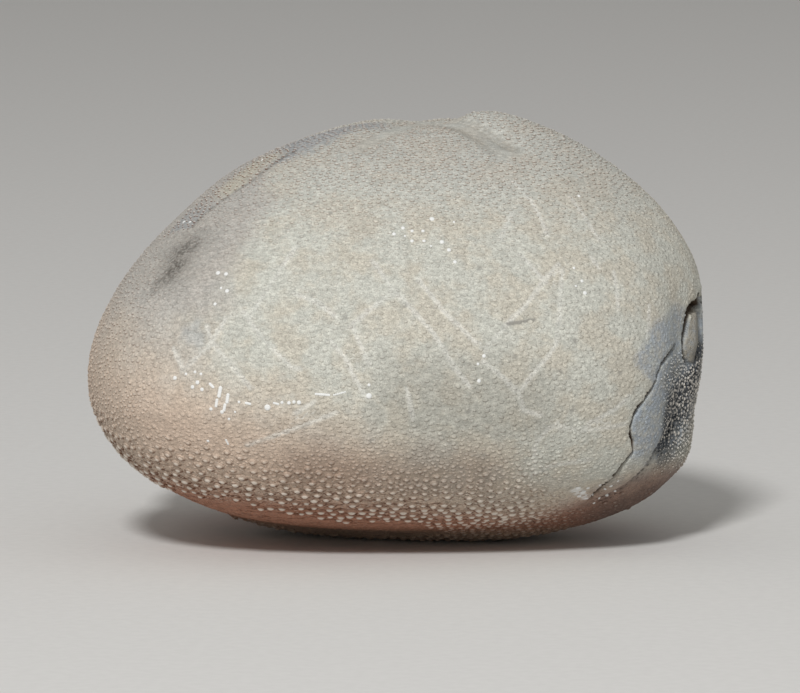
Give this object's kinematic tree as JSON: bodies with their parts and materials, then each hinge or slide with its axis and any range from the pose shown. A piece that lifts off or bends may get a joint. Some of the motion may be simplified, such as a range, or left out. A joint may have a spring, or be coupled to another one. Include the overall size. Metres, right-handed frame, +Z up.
{
  "type": "fossil heart urchin",
  "caption": "Fossil micraster heart urchin: a domed, heart-shaped test filled with rock, with a front groove, petals, knobbly flanks and a cracked rear edge.",
  "frame": {"origin": "under the middle of the test, on the surface that it rests on", "axes": "+X towards the blunt rear end, so -X towards the notched front, +Z up, -Y towards the side with the crack"},
  "size_m": [0.058, 0.056, 0.041],
  "materials": {
    "stone": "matte fossil calcite and chalk, cream with grey and tan stains"
  },
  "bodies": {
    "root": {"urchin_test": "stone"}
  },
  "joints": []
}
